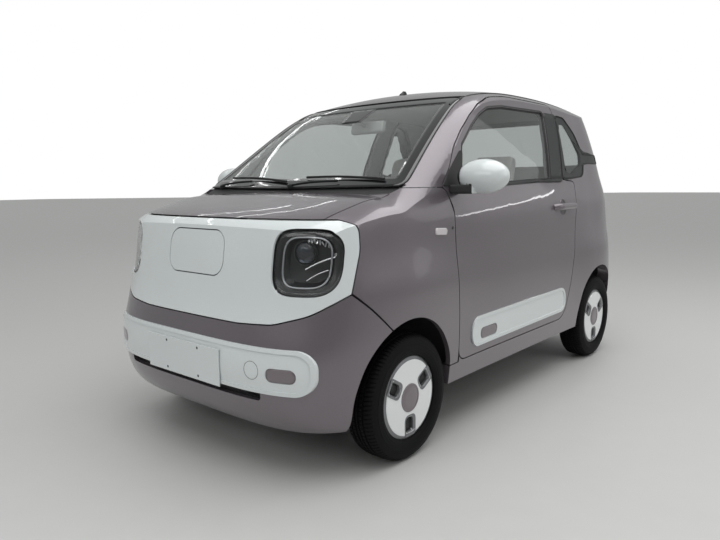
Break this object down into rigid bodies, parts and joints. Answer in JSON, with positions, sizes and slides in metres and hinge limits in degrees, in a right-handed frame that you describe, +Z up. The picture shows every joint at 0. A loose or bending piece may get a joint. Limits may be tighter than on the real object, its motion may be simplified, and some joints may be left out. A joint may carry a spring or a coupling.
{
  "type": "electric microcar",
  "caption": "Two-door electric microcar with hinged doors, tailgate, bonnet and charge flap, steered front wheels and a furnished cabin.",
  "frame": {"origin": "on the ground, midway between the sides and between the ends", "axes": "+X to the car's left, +Y rearward, +Z up"},
  "size_m": [1.8672, 2.9955, 1.5971],
  "materials": {
    "body_paint": "metallic mauve grey paint under clear coat",
    "pearl_trim": "pearl white gloss",
    "window_glass": "clear glass",
    "lamp_black": "dark gloss lamp unit",
    "lamp_red": "red gloss lamp unit",
    "black_plastic": "grained black plastic",
    "floor_metal": "dark primed sheet",
    "tyre_rubber": "black rubber",
    "wheel_cover": "white gloss cover over a silver rim",
    "chassis_iron": "black coated steel and iron",
    "motor_alloy": "cast aluminium",
    "battery_case": "black painted case",
    "soft_black": "black soft plastic",
    "seat_cloth": "light grey seat cloth"
  },
  "bodies": {
    "car_body": {"body_side_left": "body_paint", "body_side_right": "body_paint", "quarter_glass": "window_glass", "roof": "body_paint", "windscreen": "window_glass", "fender_left": "body_paint", "fender_right": "body_paint", "front_panel": "pearl_trim", "headlamps": "lamp_black", "front_bumper": "body_paint", "front_bumper_trim": "pearl_trim", "tail_lamps": "lamp_red", "rear_bumper": "body_paint", "black_trim": "black_plastic", "floor_pan": "floor_metal", "arch_liners": "black_plastic", "front_suspension": "chassis_iron", "rear_axle": "chassis_iron", "drive_motor": "motor_alloy", "battery_pack": "battery_case", "dashboard": "black_plastic", "front_seats": "seat_cloth", "rear_seat": "seat_cloth"},
    "bonnet": {"bonnet": "body_paint"},
    "charge_flap": {"charge_flap": "pearl_trim"},
    "tailgate": {"tailgate": "body_paint", "tailgate_glass": "window_glass"},
    "steering_wheel": {"steering_wheel": "soft_black"},
    "door_left": {"door_left": "body_paint", "door_glass_left": "window_glass", "door_trim_left": "pearl_trim"},
    "knuckle_left": {"knuckle_left": "chassis_iron"},
    "wheel_front_left": {"wheel_front_left": "wheel_cover", "tyre_front_left": "tyre_rubber"},
    "wheel_rear_left": {"wheel_rear_left": "wheel_cover", "tyre_rear_left": "tyre_rubber"},
    "door_right": {"door_right": "body_paint", "door_glass_right": "window_glass", "door_trim_right": "pearl_trim"},
    "knuckle_right": {"knuckle_right": "chassis_iron"},
    "wheel_front_right": {"wheel_front_right": "wheel_cover", "tyre_front_right": "tyre_rubber"},
    "wheel_rear_right": {"wheel_rear_right": "wheel_cover", "tyre_rear_right": "tyre_rubber"}
  },
  "joints": [
    {"name": "door_left_hinge", "type": "hinge", "parent": "car_body", "child": "door_left", "pos_m": [0.745, -0.608, 0.65], "axis": [0, 0, -1], "range_deg": [0, 62]},
    {"name": "door_right_hinge", "type": "hinge", "parent": "car_body", "child": "door_right", "pos_m": [-0.745, -0.608, 0.65], "axis": [0, 0, 1], "range_deg": [0, 62]},
    {"name": "steer_left", "type": "hinge", "parent": "car_body", "child": "knuckle_left", "pos_m": [0.6, -0.946, 0.17], "axis": [-0.2, 0, 0.9798], "range_deg": [-28, 28]},
    {"name": "wheel_front_left_spin", "type": "hinge", "parent": "knuckle_left", "child": "wheel_front_left", "pos_m": [0.655, -0.946, 0.254], "axis": [1, 0, 0], "continuous": true},
    {"name": "wheel_rear_left_spin", "type": "hinge", "parent": "car_body", "child": "wheel_rear_left", "pos_m": [0.655, 1.007, 0.254], "axis": [1, 0, 0], "continuous": true},
    {"name": "steer_right", "type": "hinge", "parent": "car_body", "child": "knuckle_right", "pos_m": [-0.6, -0.946, 0.17], "axis": [0.2, 0, 0.9798], "range_deg": [-28, 28]},
    {"name": "wheel_front_right_spin", "type": "hinge", "parent": "knuckle_right", "child": "wheel_front_right", "pos_m": [-0.655, -0.946, 0.254], "axis": [1, 0, 0], "continuous": true},
    {"name": "wheel_rear_right_spin", "type": "hinge", "parent": "car_body", "child": "wheel_rear_right", "pos_m": [-0.655, 1.007, 0.254], "axis": [1, 0, 0], "continuous": true},
    {"name": "steering_wheel_turn", "type": "hinge", "parent": "car_body", "child": "steering_wheel", "pos_m": [0.3, -0.31, 0.895], "axis": [0, 0.938, 0.3468], "range_deg": [-425, 425]},
    {"name": "bonnet_hinge", "type": "hinge", "parent": "car_body", "child": "bonnet", "pos_m": [0, -0.922, 1.062], "axis": [-1, 0, 0], "range_deg": [0, 50]},
    {"name": "tailgate_hinge", "type": "hinge", "parent": "car_body", "child": "tailgate", "pos_m": [0, 1.219, 1.541], "axis": [1, 0, 0], "range_deg": [0, 75]},
    {"name": "charge_flap_hinge", "type": "hinge", "parent": "car_body", "child": "charge_flap", "pos_m": [-0.178, -1.421, 0.748], "axis": [0, -0.1447, -0.9895], "range_deg": [0, 90]}
  ],
  "couplings": [
    {"joint": "steer_right", "follows": "steer_left", "ratio": 1},
    {"joint": "steering_wheel_turn", "follows": "steer_left", "ratio": 15}
  ]
}
